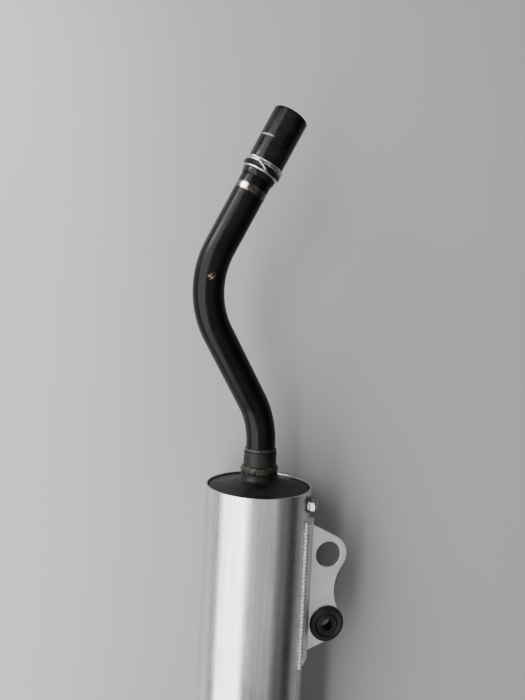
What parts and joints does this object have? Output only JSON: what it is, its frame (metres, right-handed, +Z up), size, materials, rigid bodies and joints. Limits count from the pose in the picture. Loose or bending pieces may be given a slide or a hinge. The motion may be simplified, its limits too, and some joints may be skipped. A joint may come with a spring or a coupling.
{
  "type": "exhaust silencer",
  "caption": "Round aluminium two-stroke silencer with an S-bent inlet pipe, a wired rubber connecting sleeve and a welded side bracket.",
  "frame": {"origin": "centre of the outlet tube's open end, on the can's axis", "axes": "+Y along the can towards the inlet, +Z up as the silencer lies, +X towards the bracket"},
  "size_m": [0.122, 0.5661, 0.094],
  "materials": {
    "brushed_aluminium": "brushed along the can",
    "black_paint": "satin black heat-proof paint",
    "painted_weld": "rough painted weld with brown tint",
    "gloss_black_pipe": "gloss black, scuffed",
    "bare_seam": "bare steel seam with heat tint",
    "sleeve_rubber": "glossy black rubber",
    "steel_wire": "bright drawn wire",
    "bracket_aluminium": "satin sheet with ground edges",
    "aluminium_weld": "rippled weld bead",
    "grommet_rubber": "matt black rubber",
    "bush_steel": "dark oiled steel",
    "zinc_steel": "zinc plated",
    "core_steel": "rolled perforated sheet",
    "steel_wool": "fine steel wool",
    "glass_fibre": "glass-fibre matting"
  },
  "bodies": {
    "silencer": {"can_shell": "brushed_aluminium", "front_cap": "black_paint", "neck_weld": "painted_weld", "inlet_collar": "black_paint", "collar_weld": "painted_weld", "inlet_pipe": "gloss_black_pipe", "stub_weld": "bare_seam", "inlet_stub": "gloss_black_pipe", "mounting_bracket": "bracket_aluminium", "bracket_weld_upper": "aluminium_weld", "bracket_weld_lower": "aluminium_weld", "bracket_grommet": "grommet_rubber", "grommet_bush": "bush_steel", "cap_bolts": "zinc_steel", "cap_washers": "zinc_steel", "cap_nuts": "zinc_steel", "core_tube": "core_steel", "core_wool": "steel_wool", "packing": "glass_fibre", "rear_cap": "black_paint", "rear_rivets": "zinc_steel", "outlet_pipe": "black_paint", "outlet_weld": "painted_weld"},
    "sleeve": {"connector_sleeve": "sleeve_rubber"},
    "clamp": {"clamp_wire": "steel_wire"}
  },
  "joints": [
    {"name": "sleeve_slide", "type": "slide", "parent": "silencer", "child": "sleeve", "axis": [0.4363, 0.8998, 0.0025], "range_m": [0, 0.026]},
    {"name": "clamp_turn", "type": "hinge", "parent": "sleeve", "child": "clamp", "pos_m": [-0.0087, 0.52417, 0.0375], "axis": [0.4363, 0.8998, 0.0025], "continuous": true}
  ]
}
